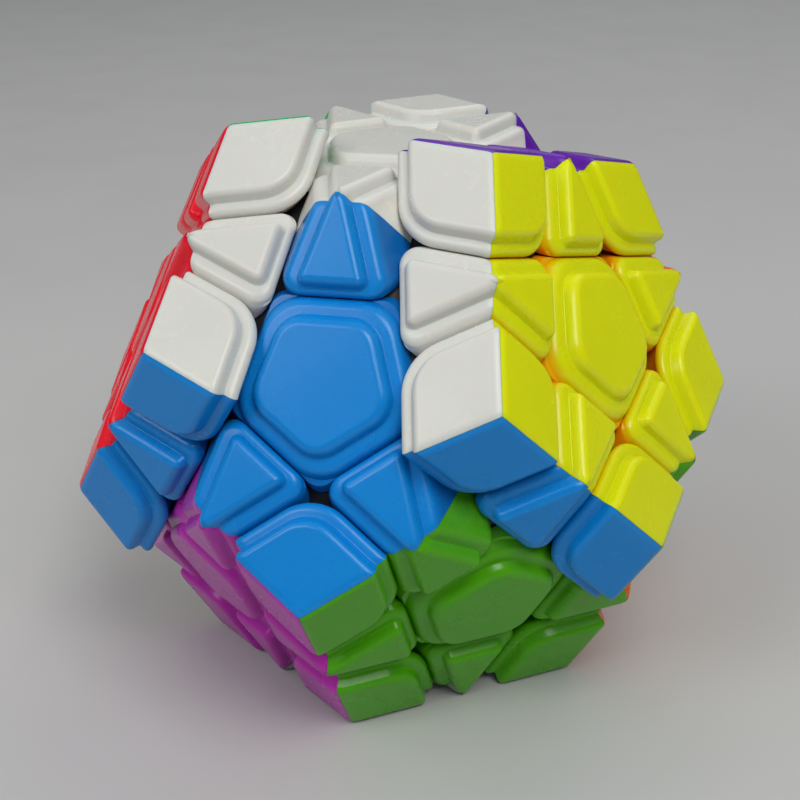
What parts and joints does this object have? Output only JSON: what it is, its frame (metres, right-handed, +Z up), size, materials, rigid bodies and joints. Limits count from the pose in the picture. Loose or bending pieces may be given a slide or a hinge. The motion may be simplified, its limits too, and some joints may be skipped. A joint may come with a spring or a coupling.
{
  "type": "dodecahedron twisty puzzle",
  "caption": "Twelve-sided twisty puzzle with flat pentagonal turning faces, stepped coloured tiles and two layers left part-turned.",
  "frame": {"origin": "middle of the grey face, on the surface that the puzzle stands on; the dodecahedron's centre is straight above it, 37.86 mm up", "axes": "+Z up, out through the middle of the white face; -Y towards the side between the two turned layers, where the blue face is"},
  "size_m": [0.0938, 0.0936, 0.0813],
  "materials": {
    "white_plastic": "smooth moulded plastic, semi-gloss, coloured through",
    "grey_plastic": "smooth moulded plastic, semi-gloss, coloured through",
    "blue_plastic": "smooth moulded plastic, semi-gloss, coloured through",
    "yellow_plastic": "smooth moulded plastic, semi-gloss, coloured through",
    "purple_plastic": "smooth moulded plastic, semi-gloss, coloured through",
    "green_plastic": "smooth moulded plastic, semi-gloss, coloured through",
    "red_plastic": "smooth moulded plastic, semi-gloss, coloured through",
    "lime_plastic": "smooth moulded plastic, semi-gloss, coloured through",
    "orange_plastic": "smooth moulded plastic, semi-gloss, coloured through",
    "sky_plastic": "smooth moulded plastic, semi-gloss, coloured through",
    "cream_plastic": "smooth moulded plastic, semi-gloss, coloured through",
    "pink_plastic": "smooth moulded plastic, semi-gloss, coloured through",
    "core_plastic": "plain moulded plastic",
    "foot_plastic": "plain moulded plastic, slightly waxy",
    "steel": "bright zinc-plated steel"
  },
  "bodies": {
    "body": {"axle_screws": "steel", "axle_springs": "steel", "axle_washers": "steel", "blue_centre_cap": "blue_plastic", "body_blue_tiles": "blue_plastic", "body_centre_sleeves": "foot_plastic", "body_corner_feet": "foot_plastic", "body_cream_tiles": "cream_plastic", "body_edge_feet": "foot_plastic", "body_green_tiles": "green_plastic", "body_grey_tiles": "grey_plastic", "body_lime_tiles": "lime_plastic", "body_orange_tiles": "orange_plastic", "body_pink_tiles": "pink_plastic", "body_purple_tiles": "purple_plastic", "body_white_tiles": "white_plastic", "core_lower_half": "core_plastic", "core_upper_half": "core_plastic", "cream_centre_cap": "cream_plastic", "green_centre_cap": "green_plastic", "grey_centre_cap": "grey_plastic", "lime_centre_cap": "lime_plastic", "orange_centre_cap": "orange_plastic", "pink_centre_cap": "pink_plastic", "purple_centre_cap": "purple_plastic", "white_centre_cap": "white_plastic"},
    "yellow_layer": {"yellow_centre_cap": "yellow_plastic", "yellow_layer_blue_tiles": "blue_plastic", "yellow_layer_centre_sleeves": "foot_plastic", "yellow_layer_corner_feet": "foot_plastic", "yellow_layer_edge_feet": "foot_plastic", "yellow_layer_lime_tiles": "lime_plastic", "yellow_layer_orange_tiles": "orange_plastic", "yellow_layer_purple_tiles": "purple_plastic", "yellow_layer_white_tiles": "white_plastic", "yellow_layer_yellow_corner_tiles": "yellow_plastic", "yellow_layer_yellow_edge_tiles": "yellow_plastic"},
    "red_layer": {"red_centre_cap": "red_plastic", "red_layer_blue_tiles": "blue_plastic", "red_layer_centre_sleeves": "foot_plastic", "red_layer_corner_feet": "foot_plastic", "red_layer_cream_tiles": "cream_plastic", "red_layer_edge_feet": "foot_plastic", "red_layer_green_tiles": "green_plastic", "red_layer_pink_tiles": "pink_plastic", "red_layer_red_corner_tiles": "red_plastic", "red_layer_red_edge_tiles": "red_plastic", "red_layer_white_tiles": "white_plastic"},
    "sky_layer": {"sky_centre_cap": "sky_plastic", "sky_layer_centre_sleeves": "foot_plastic", "sky_layer_corner_feet": "foot_plastic", "sky_layer_cream_tiles": "cream_plastic", "sky_layer_edge_feet": "foot_plastic", "sky_layer_green_tiles": "green_plastic", "sky_layer_grey_tiles": "grey_plastic", "sky_layer_orange_tiles": "orange_plastic", "sky_layer_purple_tiles": "purple_plastic", "sky_layer_sky_corner_tiles": "sky_plastic", "sky_layer_sky_edge_tiles": "sky_plastic"}
  },
  "joints": [
    {"name": "yellow_layer_turn", "type": "hinge", "parent": "body", "child": "yellow_layer", "pos_m": [0, 0, 0.03786], "axis": [0.8507, -0.2764, 0.4472], "continuous": true},
    {"name": "red_layer_turn", "type": "hinge", "parent": "body", "child": "red_layer", "pos_m": [0, 0, 0.03786], "axis": [-0.8507, -0.2764, 0.4472], "continuous": true},
    {"name": "sky_layer_turn", "type": "hinge", "parent": "body", "child": "sky_layer", "pos_m": [0, 0, 0.03786], "axis": [0, 0.8944, -0.4472], "continuous": true}
  ]
}
